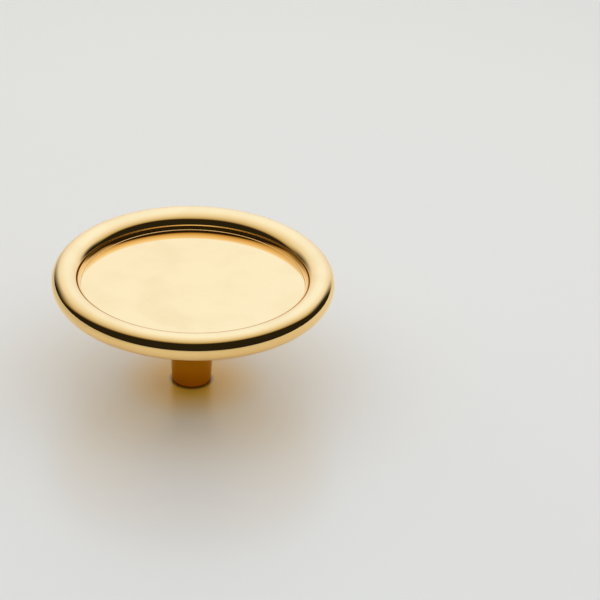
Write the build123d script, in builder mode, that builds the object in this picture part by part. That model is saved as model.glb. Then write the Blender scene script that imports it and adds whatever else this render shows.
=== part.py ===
"""A round cabinet knob turned from one piece of solid brass: a disc with a thick round rim and a
shallow flat dish, carried on a slim stem that flares like a trumpet into the disc's underside.

The frame: origin at the centre of the stem's foot, which sits on the drawer front, +Z out of the
drawer front towards the dish. Sizes are in millimetres.
"""
from build123d import *
import os
from math import cos, radians, sin, sqrt, tan

# Disc
disc_diameter = 72.0
projection = 32.0            # from the foot to the crest of the rim
rim_thickness = 6.9          # crest to lowest point, and the diameter of the round outside
rim_inner_reach = 4.05       # from the crest inwards to the upright wall of the dish
dish_depth = 4.3             # from the crest down to the flat floor
dish_wall = 0.3              # the upright part of the wall, above the floor
dish_corner_radius = 0.15    # where the floor turns up into the wall
web_thickness = 2.1          # floor to underside, at the edge of the dish
underside_rise = 12.0        # degrees that the underside climbs towards the rim
rim_crease_radius = 0.3      # where the underside meets the rim

# Stem
foot_diameter = 10.0
foot_edge_radius = 0.3
stem_taper = 2.6             # degrees that each side leans outwards
straight_stem = 5.6          # from the foot to the start of the flare's long sweep
knee_radius = 6.5            # short sweep that lands on the underside
flare_diameter = 27.2        # where the short sweep reaches the underside

# Screw hole, tapped M4 from below
thread_diameter = 4.0
tap_drill_diameter = 3.3
tapped_depth = 12.0
drill_point_angle = 118.0

# Heights and radii that follow from them
rim_radius = rim_thickness / 2
rim_ring_radius = disc_diameter / 2 - rim_radius
rim_height = projection - rim_radius
floor_height = projection - dish_depth
dish_radius = rim_ring_radius - rim_inner_reach
underside = Vector(cos(radians(underside_rise)), sin(radians(underside_rise)))
stem_side = Vector(sin(radians(stem_taper)), cos(radians(stem_taper)))
foot_corner = Vector(foot_diameter / 2, 0)


def underside_point(radius):
    """The point of the underside's slope at this radius."""
    rise = (radius - dish_radius) * tan(radians(underside_rise))
    return Vector(radius, floor_height - web_thickness + rise)


def flare_points():
    """Where the flare's two sweeps start, meet and end: on the stem, on each other, on the underside.

    The knee's centre hangs one knee radius below the underside. The long sweep leaves the stem at a
    given height, so its radius is the one that makes it just touch the knee's circle.
    """
    start = foot_corner + stem_side * straight_stem
    landing = underside_point(flare_diameter / 2)
    knee_centre = landing + Vector(underside.Y, -underside.X) * knee_radius
    outwards = Vector(stem_side.Y, -stem_side.X)
    reach = knee_centre - start
    radius = (reach.length**2 - knee_radius**2) / (2 * (reach.dot(outwards) - knee_radius))
    centre = start + outwards * radius
    joint = centre + (knee_centre - centre).normalized() * radius
    return start, joint, landing


def crease_point():
    """Where the underside's slope runs into the rim's circle."""
    below_rim = underside_point(rim_ring_radius)
    to_centre = Vector(rim_ring_radius, rim_height) - below_rim
    along = to_centre.dot(underside)
    half_chord = sqrt(rim_radius**2 - to_centre.length**2 + along**2)
    return below_rim + underside * (along - half_chord)


# Half section of the body, turned about the axis
with BuildPart() as knob_body:
    with BuildSketch(Plane.XZ) as half_section:
        flare_start, sweep_joint, flare_end = flare_points()
        crease = crease_point()
        crest = (rim_ring_radius, projection)
        with BuildLine():
            Line((0, 0), foot_corner)
            side = Line(foot_corner, flare_start)
            flare = TangentArc(flare_start, sweep_joint, tangent=side % 1)
            knee = TangentArc(sweep_joint, flare_end, tangent=flare % 1)
            Line(knee @ 1, crease)
            ThreePointArc(crease, (disc_diameter / 2, rim_height), crest)
            EllipticalCenterArc(
                (rim_ring_radius, floor_height + dish_wall),
                rim_inner_reach,
                dish_depth - dish_wall,
                start_angle=90,
                arc_size=90,
            )
            Polyline(
                (dish_radius, floor_height + dish_wall),
                (dish_radius, floor_height),
                (0, floor_height),
                (0, 0),
            )
        make_face()
        for spot, radius in (
            ((dish_radius, floor_height), dish_corner_radius),
            (crease, rim_crease_radius),
            (foot_corner, foot_edge_radius),
        ):
            fillet(half_section.vertices().sort_by_distance(spot)[0], radius)
    revolve(axis=Axis.Z)

    # Tapped hole: a 45 degree lead-in as wide as the thread, the tap drill's wall and its point
    with BuildSketch(Plane.XZ) as hole_section:
        mouth_radius = thread_diameter / 2
        wall_radius = tap_drill_diameter / 2
        lead_in = mouth_radius - wall_radius
        point_height = wall_radius / tan(radians(drill_point_angle / 2))
        with BuildLine():
            Polyline(
                (0, 0),
                (mouth_radius, 0),
                (wall_radius, lead_in),
                (wall_radius, tapped_depth),
                (0, tapped_depth + point_height),
                close=True,
            )
        make_face()
    revolve(axis=Axis.Z, mode=Mode.SUBTRACT)

knob_body.part.label = "knob_body"

os.makedirs("parts", exist_ok=True)
export_step(knob_body.part, "parts/knob_body.step")

print("flare starts at", flare_start, "sweeps meet at", sweep_joint, "landing at", flare_end)
print("volume", round(knob_body.part.volume, 1), "faces", len(knob_body.part.faces()))
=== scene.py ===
# %% [markdown]
# # A turned brass cabinet knob
# The real knob is one piece of solid brass from a lathe: a round disc with a thick rim and a
# shallow dish, on a slim stem that flares out like a trumpet under the disc. A mirror polish is its
# only ornament. So the lesson has three parts: turn the section, give the brass the small marks
# that a polished surface really has, and build the studio that it mirrors.

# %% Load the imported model
import bmesh
import bpy
from math import atan2, cos, pi, radians, sin, sqrt, tan
from mathutils import Matrix, Vector
from mathutils.bvhtree import BVHTree


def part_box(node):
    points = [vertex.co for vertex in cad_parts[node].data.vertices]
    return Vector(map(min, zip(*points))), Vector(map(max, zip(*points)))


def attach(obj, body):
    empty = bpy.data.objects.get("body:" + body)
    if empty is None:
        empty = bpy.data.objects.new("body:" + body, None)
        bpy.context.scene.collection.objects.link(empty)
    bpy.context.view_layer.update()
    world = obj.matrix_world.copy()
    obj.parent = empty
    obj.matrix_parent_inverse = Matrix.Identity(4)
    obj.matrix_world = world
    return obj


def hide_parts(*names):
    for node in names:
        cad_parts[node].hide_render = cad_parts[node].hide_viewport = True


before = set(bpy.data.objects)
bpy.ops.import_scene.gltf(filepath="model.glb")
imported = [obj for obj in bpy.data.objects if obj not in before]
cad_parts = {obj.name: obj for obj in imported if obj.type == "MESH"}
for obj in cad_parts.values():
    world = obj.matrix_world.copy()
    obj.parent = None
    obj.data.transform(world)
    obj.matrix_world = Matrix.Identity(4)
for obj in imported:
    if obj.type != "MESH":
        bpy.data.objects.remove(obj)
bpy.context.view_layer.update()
body_low, body_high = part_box("knob_body")
print("CAD box from", body_low, "to", body_high)

# %% [markdown]
# ## Sizes
# Everything is in metres, so one millimetre gets a name. The width and the height of the knob are
# read from the model that we loaded, and the finer sizes of its section are written once here.

# %% Name the sizes of the disc
MM = 0.001
disc_radius = (body_high.x - body_low.x) / 2
projection = body_high.z
rim_radius = 3.45 * MM
rim_inner_reach = 4.05 * MM
dish_depth = 4.3 * MM
dish_wall = 0.3 * MM
dish_corner_radius = 0.15 * MM
underside_rise = radians(12)
underside_start = Vector((13.6 * MM, 0, 22.433 * MM))
rim_crease_radius = 0.3 * MM

floor_height = projection - dish_depth
crest = Vector((disc_radius - rim_radius, 0, projection))
rim_centre = crest - Vector((0, 0, rim_radius))
print("the rim's crest is at radius", round(crest.x / MM, 2), "mm")

# %% Name the sizes of the stem and its screw hole
foot_radius = 5 * MM
foot_edge_radius = 0.3 * MM
stem_taper = radians(2.6)
straight_stem = 5.6 * MM
knee_radius = 6.5 * MM
thread_radius = 2.0 * MM
drilled_radius = 1.65 * MM
drilled_depth = 12 * MM
drill_point = radians(118)
thread_pitch = 0.7 * MM
print("an M4 thread of", round(drilled_depth / thread_pitch, 1), "turns")

# %% [markdown]
# ## A pair of compasses for the section
# A lathe section is only straight lines and round sweeps. Typing its points would hide that, so
# we draw it as on paper: `line_to` extrudes the last point of the wire to a new place, and
# `sweep_to` spins the last point about a centre, as a pair of compasses does. The wire lies in the
# XZ plane, with X as the radius and Z as the height.

# %% Make the drawing tools
FINEST = radians(1.5)
FINE = radians(3)
COARSE = radians(10)
MERGE_REACH = 0.001 * MM


def start_wire(mesh, point):
    """Put down the first point of a wire."""
    return bmesh.ops.create_vert(mesh, co=point)["vert"][0]


def line_to(mesh, last, point):
    """Draw a straight line from the last point and return the new last one."""
    new = bmesh.ops.extrude_vert_indiv(mesh, verts=[last])["verts"][0]
    new.co = point
    return new


def turn_between(centre, start, end):
    """The signed angle about the centre from start to end, by the shorter way, in the XZ plane."""
    first = atan2(start.z - centre.z, start.x - centre.x)
    second = atan2(end.z - centre.z, end.x - centre.x)
    return (second - first + pi) % (2 * pi) - pi


def sweep_to(mesh, last, centre, end, step=FINE):
    """Swing the last point about the centre until it reaches the end."""
    turn = turn_between(centre, last.co, end)
    steps = max(2, round(abs(turn) / step))
    swept = bmesh.ops.spin(
        mesh, geom=[last], cent=centre, axis=(0, -1, 0), angle=turn, steps=steps,
        dvec=(0, 0, 0), use_merge=False, use_duplicate=False,
    )
    return [item for item in swept["geom_last"] if isinstance(item, bmesh.types.BMVert)][0]


print("a full circle takes", round(2 * pi / FINE), "fine steps or", round(2 * pi / COARSE), "coarse ones")

# %% [markdown]
# ## Where the sweeps meet
# Each sweep has to leave one line and land on the next without a kink, so its centre is worked out
# from its neighbours. The trumpet flare is two sweeps: a long one that leaves the stem's side, and
# a short one, the knee, that lands on the underside. The long sweep's radius is the one that makes
# its circle just touch the knee's.

# %% Place the flare
slope = Vector((cos(underside_rise), 0, sin(underside_rise)))
below_slope = Vector((sin(underside_rise), 0, -cos(underside_rise)))
stem_side = Vector((sin(stem_taper), 0, cos(stem_taper)))
stem_out = Vector((cos(stem_taper), 0, -sin(stem_taper)))
foot_corner = Vector((foot_radius, 0, 0))

flare_start = foot_corner + stem_side * straight_stem
knee_centre = underside_start + below_slope * knee_radius
to_knee = knee_centre - flare_start
flare_radius = (to_knee.length_squared - knee_radius**2) / (2 * (to_knee.dot(stem_out) - knee_radius))
flare_centre = flare_start + stem_out * flare_radius
sweep_joint = flare_centre + (knee_centre - flare_centre).normalized() * flare_radius
print("the flare's long sweep has a radius of", round(flare_radius / MM, 2), "mm")

# %% [markdown]
# A sharp edge on a turned knob is broken with a file or a tiny form tool. The small rounding at the
# foot touches the flat foot and the leaning stem. The one in the crease under the rim is hollow, so
# its centre lies outside the metal, one radius off the underside and off the rim's circle.

# %% Place the small roundings
foot_turn = (pi / 2 + stem_taper) / 2
foot_reach = foot_edge_radius / tan(foot_turn)
foot_edge_start = foot_corner - Vector((foot_reach, 0, 0))
foot_edge_centre = foot_edge_start + Vector((0, 0, foot_edge_radius))
foot_edge_end = foot_corner + stem_side * foot_reach

crease_line = underside_start + below_slope * rim_crease_radius
to_rim = rim_centre - crease_line
half_chord = sqrt((rim_radius + rim_crease_radius) ** 2 - to_rim.dot(below_slope) ** 2)
crease_centre = crease_line + slope * (to_rim.dot(slope) - half_chord)
crease_start = crease_centre - below_slope * rim_crease_radius
crease_end = rim_centre + (crease_centre - rim_centre).normalized() * rim_radius
print("the crease is at radius", round(crease_centre.x / MM, 2), "mm")

# %% [markdown]
# ## Draw the half section
# We start at the mouth of the screw hole and go round the metal: over the foot, up the stem, along
# the underside, round the rim and down into the dish. The rim is round outside, but inside it is a
# quarter of an oval that ends in a short upright wall, so there we stretch a quarter circle. A short
# line beside each flat keeps the smooth shading of a sweep from bleeding into it.

# %% Draw from the hole's mouth to the rim's crest
section = bmesh.new()
support = 0.05 * MM
point = start_wire(section, (thread_radius, 0, 0))
point = line_to(section, point, foot_edge_start)
point = sweep_to(section, point, foot_edge_centre, foot_edge_end, COARSE)
point = line_to(section, point, foot_edge_end + stem_side * support)
point = line_to(section, point, flare_start - stem_side * support)
point = line_to(section, point, flare_start)
point = sweep_to(section, point, flare_centre, sweep_joint, FINEST)
point = sweep_to(section, point, knee_centre, underside_start)
point = line_to(section, point, underside_start + slope * support)
point = line_to(section, point, crease_start - slope * support)
point = line_to(section, point, crease_start)
point = sweep_to(section, point, crease_centre, crease_end, COARSE)
point = sweep_to(section, point, rim_centre, rim_centre + Vector((rim_radius, 0, 0)))
point = sweep_to(section, point, rim_centre, crest)
print("up to the crest the section has", len(section.verts), "points")

# %% Draw the rim's inner quarter and the dish
waist_height = floor_height + dish_wall
inner_drop = projection - waist_height
quarter_centre = Vector((crest.x, 0, waist_height))
drawn_before = set(section.verts)
point = sweep_to(section, point, quarter_centre, quarter_centre - Vector((inner_drop, 0, 0)))
quarter = [vertex for vertex in section.verts if vertex not in drawn_before]
bmesh.ops.scale(
    section, vec=(rim_inner_reach / inner_drop, 1, 1), verts=quarter,
    space=Matrix.Translation(-quarter_centre),
)
corner_centre = point.co + Vector((-dish_corner_radius, 0, dish_corner_radius - dish_wall))
corner_end = corner_centre - Vector((0, 0, dish_corner_radius))
point = line_to(section, point, corner_centre + Vector((dish_corner_radius, 0, 0)))
point = sweep_to(section, point, corner_centre, corner_end, COARSE)
point = line_to(section, point, corner_end - Vector((support, 0, 0)))
point = line_to(section, point, (0, 0, floor_height))
print("the whole half section has", len(section.verts), "points")

# %% [markdown]
# ## Turn it
# A full spin about the Z axis does what the lathe did. `use_merge` joins the last step to the
# first, and merging doubles closes the pole in the middle of the dish, where the wire ends on the
# axis. The mouth of the screw hole stays open for now: the thread will be joined to it.

# %% Spin the section
TURNS = 192
bmesh.ops.spin(
    section, geom=section.verts[:] + section.edges[:], cent=(0, 0, 0), axis=(0, 0, 1),
    angle=2 * pi, steps=TURNS, dvec=(0, 0, 0), use_merge=True, use_duplicate=False,
)
bmesh.ops.remove_doubles(section, verts=section.verts[:], dist=MERGE_REACH)
mouth = [edge for edge in section.edges if edge.is_boundary]
print("turned faces:", len(section.faces), "edges round the open mouth:", len(mouth))

# %% [markdown]
# ## Tap the hole
# The screw comes through the drawer front and bites into an M4 thread inside the foot. Nobody sees
# it in the shop, but whoever fits the knob does. A thread is a small V that climbs as it goes
# round, and `spin` does that too when `dvec` lifts every step a little. We draw one pitch of the
# groove, climb past both ends of the hole, and cut the spare turns off with two planes.

# %% Draw one pitch of the groove and climb
STEPS_ROUND = 64
SPARE_TURNS = 3
FLANK_LEAN = radians(30)
ROOT_SHARE = 1 / 8
turns_needed = int(drilled_depth / thread_pitch) + SPARE_TURNS
groove_depth = thread_radius - drilled_radius
flank_rise = groove_depth * tan(FLANK_LEAN)
root_flat = thread_pitch * ROOT_SHARE
land = thread_pitch - 2 * flank_rise - root_flat
start_height = -thread_pitch

thread = bmesh.new()
point = start_wire(thread, (drilled_radius, 0, start_height))
point = line_to(thread, point, (drilled_radius, 0, start_height + land))
point = line_to(thread, point, (thread_radius, 0, start_height + land + flank_rise))
point = line_to(thread, point, (thread_radius, 0, start_height + land + flank_rise + root_flat))
point = line_to(thread, point, (drilled_radius, 0, start_height + thread_pitch))
bmesh.ops.spin(
    thread, geom=thread.verts[:] + thread.edges[:], cent=(0, 0, 0), axis=(0, 0, 1),
    angle=2 * pi * turns_needed, steps=STEPS_ROUND * turns_needed,
    dvec=(0, 0, thread_pitch / STEPS_ROUND), use_merge=False, use_duplicate=False,
)
bmesh.ops.remove_doubles(thread, verts=thread.verts[:], dist=MERGE_REACH)
print("the thread has", len(thread.faces), "faces")

# %% Cut the thread to length
lead_in = groove_depth
bmesh.ops.bisect_plane(
    thread, geom=thread.verts[:] + thread.edges[:] + thread.faces[:],
    plane_co=(0, 0, drilled_depth), plane_no=(0, 0, 1), clear_outer=True,
)
bmesh.ops.bisect_plane(
    thread, geom=thread.verts[:] + thread.edges[:] + thread.faces[:],
    plane_co=(0, 0, lead_in), plane_no=(0, 0, 1), clear_inner=True,
)
print("after the cuts it has", len(thread.faces), "faces")

# %% [markdown]
# The mouth has a 45 degree lead-in, so the screw finds its way, and the bottom of the hole is the
# cone that every twist drill leaves. Bridging the mouth to the first turn makes the lead-in. For
# the cone we fill the last loop, poke the new face, and push its middle up to the drill's point.

# %% Join the thread to the mouth and close its end
turned_faces = set(section.faces)
thread_mesh = bpy.data.meshes.new("thread")
thread.to_mesh(thread_mesh)
thread.free()
section.from_mesh(thread_mesh)
open_ends = [edge for edge in section.edges if edge.is_boundary]
lower_ends = [edge for edge in open_ends if edge.verts[0].co.z < drilled_depth / 2]
upper_ends = [edge for edge in open_ends if edge.verts[0].co.z > drilled_depth / 2]
bmesh.ops.bridge_loops(section, edges=lower_ends)
filled = bmesh.ops.holes_fill(section, edges=upper_ends, sides=0)["faces"]
middle = bmesh.ops.poke(section, faces=filled)["verts"][0]
middle.co = (0, 0, drilled_depth + drilled_radius / tan(drill_point / 2))
for face in section.faces:
    face.material_index = 0 if face in turned_faces else 1
bmesh.ops.recalc_face_normals(section, faces=section.faces[:])
open_edges = [edge for edge in section.edges if not edge.is_manifold]
print("edges that are still open:", len(open_edges), "volume", round(section.calc_volume() / MM**3), "mm3")

# %% [markdown]
# ## Make it a piece
# Smooth shading hides the facets of the sweeps, and the few real edges, such as the hole's mouth and
# the crests of the thread, are marked sharp by their angle. The piece rides on the root body and
# stands for the CAD node, and we check that it lies on the CAD surface before we go on.

# %% Finish the mesh
SHARP = radians(35)
body_mesh = bpy.data.meshes.new("knob_turned")
section.to_mesh(body_mesh)
section.free()
body_mesh.shade_smooth()
body_mesh.set_sharp_from_angle(angle=SHARP)
knob = bpy.data.objects.new("knob_turned", body_mesh)
bpy.context.scene.collection.objects.link(knob)
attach(knob, "root")
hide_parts("knob_body")
print("faces:", len(body_mesh.polygons))

# %% Measure it against the CAD node
cad_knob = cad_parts["knob_body"]
cad_form = bmesh.new()
cad_form.from_mesh(cad_knob.data)
cad_form.transform(cad_knob.matrix_world)
cad_surface = BVHTree.FromBMesh(cad_form)
outside = [vertex.co for vertex in body_mesh.vertices if vertex.co.xy.length > thread_radius]
misses = [cad_surface.find_nearest(place)[3] for place in outside]
cad_form.free()
print("largest distance from the CAD surface:", round(max(misses) / MM, 3), "mm")

# %% [markdown]
# ## Small tools for materials
# A node tree in code is easier to read when a sum looks like a sum. `maths` and `vectors` make one
# node each, plug in outputs or plain numbers, and hand back the result. `engrave` turns a height
# into tiny dents that only the light sees.

# %% Make the node helpers


def plug(tree, sockets, values):
    """Feed each socket from an output, or set it to a plain value."""
    for socket, value in zip(sockets, values):
        if isinstance(value, bpy.types.NodeSocket):
            tree.links.new(value, socket)
        else:
            socket.default_value = value


def maths(tree, operation, *values):
    """One Math node."""
    node = tree.nodes.new("ShaderNodeMath")
    node.operation = operation
    plug(tree, node.inputs, values)
    return node.outputs[0]


def vectors(tree, operation, *values):
    """One Vector Math node, which hands back a number for a dot product or a length."""
    node = tree.nodes.new("ShaderNodeVectorMath")
    node.operation = operation
    plug(tree, node.inputs, values)
    return node.outputs["Value" if operation in ("DOT_PRODUCT", "LENGTH") else "Vector"]


def ease(tree, value, start, end):
    """0 at the start, 1 at the end, and a soft step between them."""
    node = tree.nodes.new("ShaderNodeMapRange")
    node.interpolation_type = "SMOOTHSTEP"
    plug(tree, node.inputs, (value, start, end))
    return node.outputs["Result"]


def noise(tree, place, scale, detail=2.0):
    """Noise between 0 and 1 at a place."""
    node = tree.nodes.new("ShaderNodeTexNoise")
    sockets = [node.inputs[name] for name in ("Vector", "Scale", "Detail")]
    plug(tree, sockets, (place, scale, detail))
    return node.outputs["Fac"]


def blend(tree, share, first, second):
    """Mix two colours: all of the first at 0, all of the second at 1."""
    node = tree.nodes.new("ShaderNodeMixRGB")
    plug(tree, node.inputs, (share, first, second))
    return node.outputs["Color"]


def engrave(tree, shader, height, strength, depth):
    """Dent a shader's surface by a height between 0 and 1."""
    relief = tree.nodes.new("ShaderNodeBump")
    relief.inputs["Strength"].default_value = strength
    relief.inputs["Distance"].default_value = depth
    tree.links.new(height, relief.inputs["Height"])
    tree.links.new(relief.outputs["Normal"], shader.inputs["Normal"])


def parts_of(tree, vector):
    """The X, Y and Z of a vector."""
    node = tree.nodes.new("ShaderNodeSeparateXYZ")
    tree.links.new(vector, node.inputs[0])
    return node.outputs


def object_place(tree):
    """Where a point is on the piece, its distance from the axis, and its height."""
    place = tree.nodes.new("ShaderNodeTexCoord").outputs["Object"]
    from_axis = vectors(tree, "LENGTH", vectors(tree, "MULTIPLY", place, (1, 1, 0)))
    return place, from_axis, parts_of(tree, place)["Z"]


print("the node helpers are ready")

# %% [markdown]
# ## Marks that both finishes share
# Brass is never a perfect mirror. The lathe tool and the polishing mop leave fine rings round the
# axis, later wiping leaves hairlines that run any way, and fingers leave dull patches. Each effect
# is a node group that is built once, with its scale as an input: the bore shows the rings and the
# patches too, only finer. The rings must follow the turning, so they read the distance from the
# axis and the height, both from Object coordinates.

# %% Make the tools for groups


def new_group(name, inputs, output):
    """A shader node group with number inputs and one number as its output."""
    group = bpy.data.node_groups.new(name, "ShaderNodeTree")
    for socket, value in inputs.items():
        made = group.interface.new_socket(socket, in_out="INPUT", socket_type="NodeSocketFloat")
        made.default_value = value
    group.interface.new_socket(output, in_out="OUTPUT", socket_type="NodeSocketFloat")
    return group, group.nodes.new("NodeGroupInput").outputs, group.nodes.new("NodeGroupOutput").inputs


def use_group(tree, group, values):
    """Place a group in a material with its own values and hand back its output."""
    node = tree.nodes.new("ShaderNodeGroup")
    node.node_tree = group
    for socket, value in values.items():
        node.inputs[socket].default_value = value
    return node.outputs[0]


print("the group helpers are ready")

# %% Rings from turning
WAVES_ROUND = 1.5
rings, given, result = new_group("turning_rings", {"Rings per metre": 6000.0, "Waver": 0.02}, "Height")
place, from_axis, height = object_place(rings)
around = vectors(rings, "NORMALIZE", vectors(rings, "MULTIPLY", place, (1, 1, 0)))
waver = maths(rings, "MULTIPLY", noise(rings, around, WAVES_ROUND), given["Waver"])
wavering_radius = maths(rings, "ADD", from_axis, maths(rings, "MULTIPLY", waver, MM))
turned_place = rings.nodes.new("ShaderNodeCombineXYZ")
plug(rings, turned_place.inputs, (wavering_radius, height))
fine_rings = noise(rings, turned_place.outputs[0], given["Rings per metre"], detail=3.0)
rings.links.new(fine_rings, result["Height"])
print("made", rings.name)

# %% Hairlines from wiping
STROKE_TURNS = (20, 75, 140)
STROKE_STRETCH = 0.02
STROKE_STARTS = 0.66
STROKE_IS_DEEP = 0.74
hairlines, given, result = new_group("wiping_hairlines", {"Fineness": 900.0}, "Height")
place, from_axis, height = object_place(hairlines)
strokes = []
for turn in STROKE_TURNS:
    laid = hairlines.nodes.new("ShaderNodeMapping")
    laid.inputs["Rotation"].default_value = (radians(turn), radians(turn / 2), radians(turn))
    laid.inputs["Scale"].default_value = (1, STROKE_STRETCH, 1)
    hairlines.links.new(place, laid.inputs["Vector"])
    grain = noise(hairlines, laid.outputs[0], given["Fineness"])
    strokes.append(ease(hairlines, grain, STROKE_STARTS, STROKE_IS_DEEP))
two_ways = maths(hairlines, "MAXIMUM", strokes[0], strokes[1])
hairlines.links.new(maths(hairlines, "MAXIMUM", two_ways, strokes[2]), result["Height"])
print("made", hairlines.name)

# %% Patches from fingers and cloth
PATCH_STARTS = 0.42
PATCH_IS_DULL = 0.70
patches, given, result = new_group("handled_patches", {"Size": 0.012}, "Dull")
place, from_axis, height = object_place(patches)
large = noise(patches, place, maths(patches, "DIVIDE", 1.0, given["Size"]), detail=4.0)
patches.links.new(ease(patches, large, PATCH_STARTS, PATCH_IS_DULL), result["Dull"])
print("made", patches.name)

# %% [markdown]
# ## Polished brass
# Metals take their colour from what they mirror, so Base Color here is the tint of the mirror.
# A clear lacquer keeps the brass from tarnishing. Under the disc, in the hollow of the flare and on the
# stem, the brass is painted a deeper and darker amber: that is painted shade, for the shade there and
# the shaded table that the stem mirrors. Where the foot's edge sits on the drawer front it is rubbed
# duller, and a dark brown ring there is painted shade, for the contact shadow that the edge mirrors.
# All of that reads where a point is on the knob.

# %% Mix the polished brass
BRASS = (0.94, 0.66, 0.30, 1)
# Painted shade: this deeper amber stands in for the shade under the disc and the shaded table the stem
# mirrors.
SHADE_AMBER = (0.53, 0.26, 0.010, 1)
# Painted shade: this dark brown stands in for the contact shadow that the foot's edge mirrors.
FOOT_SHADE = (0.25, 0.12, 0.03, 1)
polished = bpy.data.materials.new("lacquered_polished_brass")
polished.use_nodes = True
tree = polished.node_tree
shader = tree.nodes["Principled BSDF"]
shader.inputs["Metallic"].default_value = 1.0
body_mesh.materials.append(polished)
place, from_axis, height = object_place(tree)
print("brass reflects", BRASS[:3])

# %% Paint shade into the hollow and at the foot
HOLLOW_TOP = 26 * MM
HOLLOW_DEEP = 22 * MM
HOLLOW_WIDE = 30 * MM
HOLLOW_NARROW = 12 * MM
PATCH_TINT = 0.1
FOOT_SHADE_TOP = 0.6 * MM
FOOT_SHADE_DEEP = 0.1 * MM
FOOT_SHADE_STARTS = foot_radius - 0.8 * MM
FOOT_SHADE_IS_FULL = foot_radius - 0.2 * MM
# Painted shade: under the disc and near the stem, the brass is made a darker amber.
under_disc = ease(tree, height, HOLLOW_TOP, HOLLOW_DEEP)
near_stem = ease(tree, from_axis, HOLLOW_WIDE, HOLLOW_NARROW)
hollow = maths(tree, "MULTIPLY", under_disc, near_stem)
dull = use_group(tree, patches, {"Size": 0.014})
tint = maths(tree, "ADD", hollow, maths(tree, "MULTIPLY", dull, PATCH_TINT))
tint = maths(tree, "MINIMUM", tint, 1.0)
# Painted shade: a dark ring at the foot's edge; the same mask also makes the edge rougher.
foot_rim = ease(tree, from_axis, FOOT_SHADE_STARTS, FOOT_SHADE_IS_FULL)
rubbed_and_shaded = maths(tree, "MULTIPLY", ease(tree, height, FOOT_SHADE_TOP, FOOT_SHADE_DEEP), foot_rim)
shaded_and_handled_brass = blend(tree, tint, BRASS, SHADE_AMBER)
tree.links.new(blend(tree, rubbed_and_shaded, shaded_and_handled_brass, FOOT_SHADE), shader.inputs["Base Color"])
print("the hollow, the foot and the handled patches are tinted")

# %% Set the gloss
POLISH = 0.03
PATCH_GLOSS_LOSS = 0.02
RUBBED_GLOSS_LOSS = 0.12
FACED_GLOSS_LOSS = 0.2
FACED_TOP = 0.02 * MM
faced = ease(tree, height, FACED_TOP, 0.0)
gloss_loss = maths(tree, "MULTIPLY", dull, PATCH_GLOSS_LOSS)
gloss_loss = maths(tree, "ADD", gloss_loss, maths(tree, "MULTIPLY", rubbed_and_shaded, RUBBED_GLOSS_LOSS))
gloss_loss = maths(tree, "ADD", gloss_loss, maths(tree, "MULTIPLY", faced, FACED_GLOSS_LOSS))
tree.links.new(maths(tree, "ADD", gloss_loss, POLISH), shader.inputs["Roughness"])
print("polish roughness", POLISH)

# %% Engrave the rings and hairlines
RING_SHARE = 0.6
HAIRLINE_SHARE = 0.4
POLISHED_RELIEF = 0.02
POLISHED_DEPTH = 0.01 * MM
ring_height = use_group(tree, rings, {"Rings per metre": 4000.0, "Waver": 0.05})
hairline_height = use_group(tree, hairlines, {"Fineness": 1200.0})
raised = maths(tree, "MULTIPLY", ring_height, RING_SHARE)
cut_in = maths(tree, "MULTIPLY", hairline_height, HAIRLINE_SHARE)
engrave(tree, shader, maths(tree, "SUBTRACT", raised, cut_in), POLISHED_RELIEF, POLISHED_DEPTH)
print("rings and hairlines are in the polished brass")

# %% [markdown]
# ## The cut brass of the bore
# The tap leaves bare, unpolished metal: paler, matt, with rings from the cutter, and with a little
# dark cutting oil in the roots of the thread. It is a second material on the same piece, and it
# uses the same groups with stronger values.

# %% Mix the cut brass
CUT_BRASS = (0.80, 0.60, 0.31, 1)
OILY_BRASS = (0.30, 0.21, 0.10, 1)
cut_metal = bpy.data.materials.new("cut_brass")
cut_metal.use_nodes = True
tree = cut_metal.node_tree
shader = tree.nodes["Principled BSDF"]
shader.inputs["Metallic"].default_value = 1.0
body_mesh.materials.append(cut_metal)
print("bare brass reflects", CUT_BRASS[:3])

# %% Oil and roughen the thread
LEAST_OIL = 0.5
PATCH_OIL = 0.4
CUT_ROUGHNESS = 0.28
PATCH_ROUGHNESS = 0.15
CUT_RELIEF = 0.3
CUT_DEPTH = 0.02 * MM
place, from_axis, height = object_place(tree)
dull = use_group(tree, patches, {"Size": 0.004})
in_root = ease(tree, from_axis, drilled_radius, thread_radius)
oiliness = maths(tree, "ADD", maths(tree, "MULTIPLY", dull, PATCH_OIL), LEAST_OIL)
oil = maths(tree, "MULTIPLY", in_root, oiliness)
tree.links.new(blend(tree, oil, CUT_BRASS, OILY_BRASS), shader.inputs["Base Color"])
roughness = maths(tree, "ADD", maths(tree, "MULTIPLY", dull, PATCH_ROUGHNESS), CUT_ROUGHNESS)
tree.links.new(roughness, shader.inputs["Roughness"])
cutter_rings = use_group(tree, rings, {"Rings per metre": 9000.0, "Waver": 0.3})
engrave(tree, shader, cutter_rings, CUT_RELIEF, CUT_DEPTH)
print("materials on the knob:", [material.name for material in body_mesh.materials])

# %% [markdown]
# ## The table
# A plain pale sheet carries the knob and takes its shadow. It lies a hair below the foot, so that
# the two never fight for the same place.

# %% Lay the table
TABLE_SIZE = 6.0
TABLE_DROP = 0.05 * MM
table_form = bmesh.new()
bmesh.ops.create_grid(table_form, x_segments=1, y_segments=1, size=TABLE_SIZE / 2)
bmesh.ops.translate(table_form, vec=(0, 0, -TABLE_DROP), verts=table_form.verts[:])
table_mesh = bpy.data.meshes.new("studio_table")
table_form.to_mesh(table_mesh)
table_form.free()
table = bpy.data.objects.new("studio_table", table_mesh)
bpy.context.scene.collection.objects.link(table)
print("the table is", TABLE_SIZE, "m wide")

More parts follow.
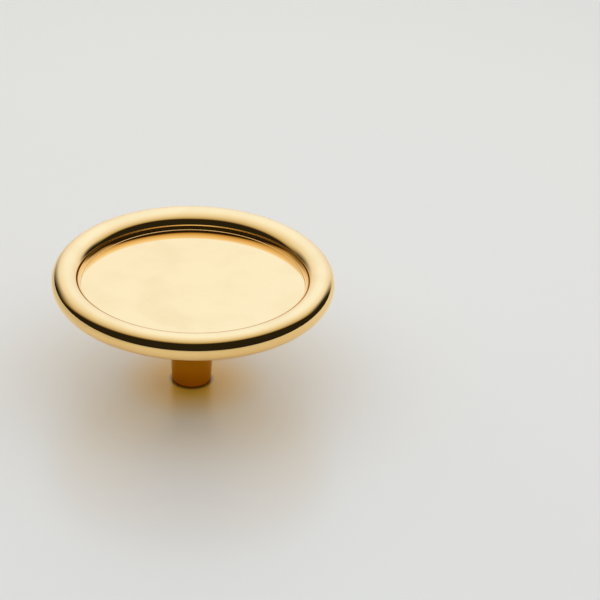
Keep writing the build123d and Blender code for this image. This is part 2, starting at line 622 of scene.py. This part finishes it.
# %% [markdown]
# ## What the brass sees of the sheet
# The rim mirrors the sheet, which is bright close by and falls into the dark of the room further in
# front, and a little on the left: that is painted in for the brass alone, with Is Glossy Ray. Under
# the disc the brass throws a deep gold glow down. That light went from the sheet to the brass and
# back, so Diffuse Depth finds it, and its gold is painted into the sheet's colour for that light,
# made as deep as a photograph shows it. Round the foot a small pool of gold light is painted on the
# sheet, and a painted ring of deep shade grounds the foot.

# %% Make the tools for the studio's materials


def mix_shaders(tree, share, first, second):
    """Mix two shaders: all of the first at 0, all of the second at 1."""
    node = tree.nodes.new("ShaderNodeMixShader")
    plug(tree, node.inputs, (share, first, second))
    return node.outputs[0]


def show(tree, shader):
    """Make a shader the material's surface."""
    surface = tree.nodes.new("ShaderNodeOutputMaterial")
    tree.links.new(shader, surface.inputs["Surface"])


print("the studio's tools are ready")

# %% Choose the table's tones
PALE = (0.76, 0.77, 0.75, 1)
NEAR_PALE = (0.92, 0.90, 0.80, 1)
FAR_PALE = (0.50, 0.50, 0.44, 1)
THROWN_GOLD = (1.06, 0.98, 0.12, 1)
# Painted light: the gold of a glow round the foot.
PAINTED_GLOW_GOLD = (0.79, 0.52, 0.04, 1)
CONTACT_SHADE = (0.30, 0.17, 0.03, 1)
SHEEN_TINT = (1.00, 0.86, 0.68, 1)
print("the table's tone is", PALE[:3])

# %% Find how the brass sees the sheet
FRONT_STARTS = 0.0
FRONT_IS_FAR = -0.45
LEFT_STARTS = -0.04
LEFT_IS_FAR = -0.12
LEFT_SHARE = 0.4
HALF_A_BOUNCE = 0.5
sheet = bpy.data.materials.new("pale_sheet")
sheet.use_nodes = True
tree = sheet.node_tree
tree.nodes.clear()
place = tree.nodes.new("ShaderNodeTexCoord").outputs["Object"]
parts = parts_of(tree, place)
in_front = ease(tree, parts["Y"], FRONT_STARTS, FRONT_IS_FAR)
to_the_left = maths(tree, "MULTIPLY", ease(tree, parts["X"], LEFT_STARTS, LEFT_IS_FAR), LEFT_SHARE)
away = maths(tree, "MAXIMUM", in_front, to_the_left)
path = tree.nodes.new("ShaderNodeLightPath").outputs
lit_before = maths(tree, "GREATER_THAN", path["Diffuse Depth"], HALF_A_BOUNCE)
thrown = maths(tree, "MULTIPLY", path["Is Glossy Ray"], lit_before)
mirrored_sheet = blend(tree, away, NEAR_PALE, FAR_PALE)
seen_sheet = blend(tree, path["Is Glossy Ray"], PALE, mirrored_sheet)
lit_sheet = blend(tree, thrown, seen_sheet, THROWN_GOLD)
print("made", sheet.name)

# %% Paint the pool and the contact
POOL_RADIUS = 22 * MM
POOL_IS_DEEP = 4 * MM
CONTACT_WIDTH = 1.0 * MM
from_foot = vectors(tree, "LENGTH", place)
# Painted light: a pool of gold glow round the foot, and a ring of painted contact shade at its edge.
pool = ease(tree, from_foot, POOL_RADIUS, POOL_IS_DEEP)
sheet_with_painted_glow = blend(tree, pool, lit_sheet, PAINTED_GLOW_GOLD)
contact = ease(tree, from_foot, foot_radius + CONTACT_WIDTH, foot_radius)
matt = tree.nodes.new("ShaderNodeBsdfDiffuse")
tree.links.new(blend(tree, contact, sheet_with_painted_glow, CONTACT_SHADE), matt.inputs["Color"])
print("the pool of gold is", round(POOL_RADIUS / MM), "mm in radius")

# %% [markdown]
# ## The sheen and the window
# The sheet has a faint satin sheen, and the stem's blurred mirror image in it is the darker streak in
# front of the foot. Only the camera sees the sheen. The sheet is see-through from below, so that the
# underside can be looked at too, and it has a window under the foot, which lets the room's light
# reach the foot's face and the thread.

# %% Give the sheet its sheen and its window
SHEEN = 0.13
SHEEN_ROUGHNESS = 0.3
SHEEN_ENDS = 0.30
SHEEN_IS_FULL = 0.16
satin = tree.nodes.new("ShaderNodeBsdfGlossy")
satin.inputs["Roughness"].default_value = SHEEN_ROUGHNESS
satin.inputs["Color"].default_value = SHEEN_TINT
sheen = maths(tree, "MULTIPLY", ease(tree, from_foot, SHEEN_ENDS, SHEEN_IS_FULL), SHEEN)
sheen_seen = maths(tree, "MULTIPLY", path["Is Camera Ray"], sheen)
shiny = mix_shaders(tree, sheen_seen, matt.outputs[0], satin.outputs[0])
clear = tree.nodes.new("ShaderNodeBsdfTransparent").outputs[0]
from_below = tree.nodes.new("ShaderNodeNewGeometry").outputs["Backfacing"]
window = maths(tree, "LESS_THAN", from_foot, foot_radius - 2 * foot_edge_radius)
see_through = maths(tree, "MAXIMUM", from_below, window)
show(tree, mix_shaders(tree, see_through, shiny, clear))
table_mesh.materials.append(sheet)
print("the sheen is", SHEEN, "of the sheet's light")

# %% [markdown]
# ## The light tents
# A mirror shows its surroundings, so the light is half of this material. The knob was lit by a wide
# soft light behind and above it, in an otherwise dark room: that is why the rim has one broad
# shine, then a sudden dark band. We build a tent round the knob that the camera sees through, and
# let its cloth glow most around one direction and fade to dark. A small tent is what the brass
# mirrors, as the shine shifts from rim to rim only where the light is near. A large one lights the
# table, because a near light would leave the table much brighter at the back than in front.

# %% Stretch the tents
SEGMENTS = 64
MIRRORED_RADIUS = 0.36
MIRRORED_SET_BACK = 0.05
LIGHTING_RADIUS = 1.6
tent_centre = Vector((0, 0, rim_centre.z))


def stretch_tent(name, radius, set_back):
    """Half a sphere of cloth over the table, with its faces inwards."""
    form = bmesh.new()
    bmesh.ops.create_uvsphere(form, u_segments=SEGMENTS, v_segments=SEGMENTS // 2, radius=radius)
    bmesh.ops.translate(form, vec=tent_centre + Vector((0, set_back, 0)), verts=form.verts[:])
    bmesh.ops.bisect_plane(
        form, geom=form.verts[:] + form.edges[:] + form.faces[:],
        plane_co=(0, 0, 0), plane_no=(0, 0, 1), clear_inner=True,
    )
    bmesh.ops.reverse_faces(form, faces=form.faces[:])
    mesh = bpy.data.meshes.new(name)
    form.to_mesh(mesh)
    form.free()
    made = bpy.data.objects.new(name, mesh)
    bpy.context.scene.collection.objects.link(made)
    made.visible_camera = False
    return made


mirrored_tent = stretch_tent("mirrored_tent", MIRRORED_RADIUS, MIRRORED_SET_BACK)
mirrored_tent.visible_diffuse = False
mirrored_tent.visible_shadow = False
lighting_tent = stretch_tent("lighting_tent", LIGHTING_RADIUS, 0.0)
lighting_tent.visible_glossy = False
print("tent faces:", len(mirrored_tent.data.polygons), "and", len(lighting_tent.data.polygons))

# %% [markdown]
# The glow depends on the angle from the middle of the light. A real soft light isn't round, so the
# angle is stretched: it is measured sideways and upwards apart, each side with its own reach.

# %% Aim the light


def way(turn, rise):
    """The direction at so many degrees to the right of straight back, and so many up."""
    turn = radians(turn)
    rise = radians(rise)
    return Vector((sin(turn) * cos(rise), cos(turn) * cos(rise), sin(rise)))


AIM_TURN = 12
AIM_RISE = 51
aim = way(AIM_TURN, AIM_RISE)
rightwards = way(AIM_TURN + 90, 0)
overhead = rightwards.cross(aim)
print("the light's middle is towards", [round(part, 2) for part in aim])

# %% Measure how far a direction is from the aim
cloth = bpy.data.materials.new("tent_cloth")
cloth.use_nodes = True
tree = cloth.node_tree
tree.nodes.clear()
place = tree.nodes.new("ShaderNodeTexCoord").outputs["Object"]
direction = vectors(tree, "NORMALIZE", vectors(tree, "SUBTRACT", place, tent_centre))


def angle_from(tree, middle):
    """The angle between the direction and a fixed one."""
    return maths(tree, "ARCCOSINE", vectors(tree, "DOT_PRODUCT", direction, middle))


def length_of(tree, first, second):
    """The long side over two short ones."""
    squares = [maths(tree, "MULTIPLY", side, side) for side in (first, second)]
    return maths(tree, "SQRT", maths(tree, "ADD", *squares))


def by_reach(tree, part, reach_plus, reach_minus):
    """A part of the way off the middle, divided by the reach on its own side."""
    plus = maths(tree, "DIVIDE", part, reach_plus)
    minus = maths(tree, "DIVIDE", part, -reach_minus)
    return maths(tree, "MAXIMUM", plus, minus)


print("made", cloth.name)

# %% Stretch the angle by the reach on each side
REACH_LEFT = 1.03
REACH_RIGHT = 0.75
REACH_NEAR = 1.04
REACH_BACK = 1.19
QUARTER = pi / 2
across = vectors(tree, "DOT_PRODUCT", direction, rightwards)
over = vectors(tree, "DOT_PRODUCT", direction, overhead)
across_by_reach = by_reach(tree, across, REACH_RIGHT, REACH_LEFT)
over_by_reach = by_reach(tree, over, REACH_NEAR, REACH_BACK)
off_by_reach = length_of(tree, across_by_reach, over_by_reach)
stretch = maths(tree, "DIVIDE", off_by_reach, length_of(tree, across, over))
soft_angle = maths(tree, "MULTIPLY", angle_from(tree, aim), stretch)
quarter_share = maths(tree, "DIVIDE", soft_angle, QUARTER)
print("the light reaches", round(REACH_LEFT / REACH_RIGHT, 2), "times as far to the left as to the right")

# %% [markdown]
# A colour ramp turns such an angle into light. There are two: the cool one is what the brass
# mirrors, as a photograph turns the brightest gold almost white, and the neutral one lights the
# table, from a middle that hangs higher. Low on both sides the stands of the light were dark, so the
# mirrored glow fades there. Low behind, a bright wall sent light in under the disc, so the lighting
# is stronger there.

# %% Make the tools for the glow


def glow(tree, share, brightest, strength, stops):
    """An emission that follows a ramp: each stop has an angle in degrees and a colour."""
    ramp = tree.nodes.new("ShaderNodeValToRGB")
    ramp.color_ramp.interpolation = "CARDINAL"
    tree.links.new(share, ramp.inputs["Fac"])
    elements = ramp.color_ramp.elements
    elements.remove(elements[1])
    for degrees_off, colour in stops:
        element = elements[0] if degrees_off == 0 else elements.new(radians(degrees_off) / QUARTER)
        element.color = (*[part / brightest for part in colour], 1)
    light = tree.nodes.new("ShaderNodeEmission")
    plug(tree, light.inputs, (ramp.outputs["Color"], strength))
    return light.outputs[0]


def clear_of(tree, turn, rise, dark_within, clear_beyond):
    """0 near a dark stand in that direction, 1 well away from it."""
    return ease(tree, angle_from(tree, way(turn, rise)), radians(dark_within), radians(clear_beyond))


print("the ramps' tools are ready")

# %% Paint what the brass mirrors
DARK_ROOM = (0.022, 0.019, 0.012)
MIRRORED_PEAK = 1.9
LEFT_STAND = {"turn": -54, "rise": -4, "dark_within": 6, "clear_beyond": 36}
RIGHT_STAND = {"turn": 65, "rise": 0, "dark_within": 14, "clear_beyond": 33}
clear_share = maths(tree, "MULTIPLY", clear_of(tree, **LEFT_STAND), clear_of(tree, **RIGHT_STAND))
bright_cloth = glow(tree, quarter_share, MIRRORED_PEAK, MIRRORED_PEAK, [
    (0, (1.05, 1.32, 1.88)), (24, (1.04, 1.22, 1.62)), (36, (0.98, 1.08, 1.27)),
    (48, (0.90, 0.94, 1.02)), (60, (0.75, 0.73, 0.64)), (66, (0.65, 0.61, 0.46)),
    (70, (0.54, 0.48, 0.31)), (74, (0.32, 0.26, 0.14)), (78, (0.07, 0.05, 0.03)), (84, DARK_ROOM),
])
dark_cloth = tree.nodes.new("ShaderNodeEmission")
dark_cloth.inputs["Color"].default_value = (*DARK_ROOM, 1)
mirrored_light = mix_shaders(tree, clear_share, dark_cloth.outputs[0], bright_cloth)
print("the mirrored light peaks at", MIRRORED_PEAK)

# %% Paint what lights the table
LIGHTING_PEAK = 1.1
LIGHTING_TONES = ((0, 1.03), (58, 0.96), (74, 0.66), (86, 0.12))
LAMP_RISE = 66
WALL_GAIN = 0.6
WALL_TOP = 0.5
WALL_FULL = 0.15
WALL_SIDE = 0.2
WALL_MIDDLE = 0.7
parts = parts_of(tree, direction)
low = ease(tree, parts["Z"], WALL_TOP, WALL_FULL)
behind = ease(tree, parts["Y"], WALL_SIDE, WALL_MIDDLE)
low_behind = maths(tree, "MULTIPLY", low, behind)
wall_light = maths(tree, "MULTIPLY", low_behind, WALL_GAIN * LIGHTING_PEAK)
strength = maths(tree, "ADD", wall_light, LIGHTING_PEAK)
lamp_share = maths(tree, "DIVIDE", angle_from(tree, way(AIM_TURN, LAMP_RISE)), QUARTER)
stops = [(degrees_off, (tone, tone, tone)) for degrees_off, tone in LIGHTING_TONES]
lighting = glow(tree, lamp_share, LIGHTING_PEAK, strength, stops)
print("the lamp's middle is", LAMP_RISE - AIM_RISE, "degrees above the mirrored light's")

# %% Choose between the two by the ray
seen_in_brass = tree.nodes.new("ShaderNodeLightPath").outputs["Is Glossy Ray"]
show(tree, mix_shaders(tree, seen_in_brass, lighting, mirrored_light))
mirrored_tent.data.materials.append(cloth)
lighting_tent.data.materials.append(cloth)
print("painted", cloth.name)

# %% [markdown]
# ## The room
# Outside the tent the room is plain and pale. It lights the far table, and it is what a low view
# shows behind the knob.

# %% Fill the room
ROOM = (0.87, 0.88, 0.86, 1)
world = bpy.data.worlds.new("pale_room")
bpy.context.scene.world = world
world.use_nodes = True
world.node_tree.nodes["Background"].inputs["Color"].default_value = ROOM
print("the room's tone is", ROOM[:3])

# %% [markdown]
# ## The camera
# The picture was taken from about 30 degrees above the table with a long lens, which keeps the
# dish's two ends nearly as wide as each other. We place the camera by the middle of the rim, which
# has to fall on a known pixel, at a scale of so many pixels to the metre.

# %% Place the camera
PICTURE = 600
SENSOR = 36.0
VIEW_DISTANCE = 1.3
VIEW_ELEVATION = radians(30.04)
VIEW_ROLL = radians(1.67)
PIXELS_PER_METRE = 3940.0
RIM_CENTRE_PIXEL = Vector((193.04, 281.63))
camera_data = bpy.data.cameras.new("camera")
camera_data.sensor_width = SENSOR
camera_data.lens = PIXELS_PER_METRE * VIEW_DISTANCE / PICTURE * SENSOR
camera = bpy.data.objects.new("camera", camera_data)
bpy.context.scene.collection.objects.link(camera)
turn = Matrix.Rotation(pi / 2 - VIEW_ELEVATION, 3, "X") @ Matrix.Rotation(VIEW_ROLL, 3, "Z")
off_middle = (RIM_CENTRE_PIXEL - Vector((PICTURE / 2, PICTURE / 2))) / PIXELS_PER_METRE
camera.location = tent_centre - turn @ Vector((off_middle.x, -off_middle.y, -VIEW_DISTANCE))
camera.rotation_euler = turn.to_euler()
bpy.context.scene.camera = camera
bpy.context.scene.view_settings.view_transform = "Standard"
print("camera at", camera.location, "lens", round(camera_data.lens, 1), "mm")
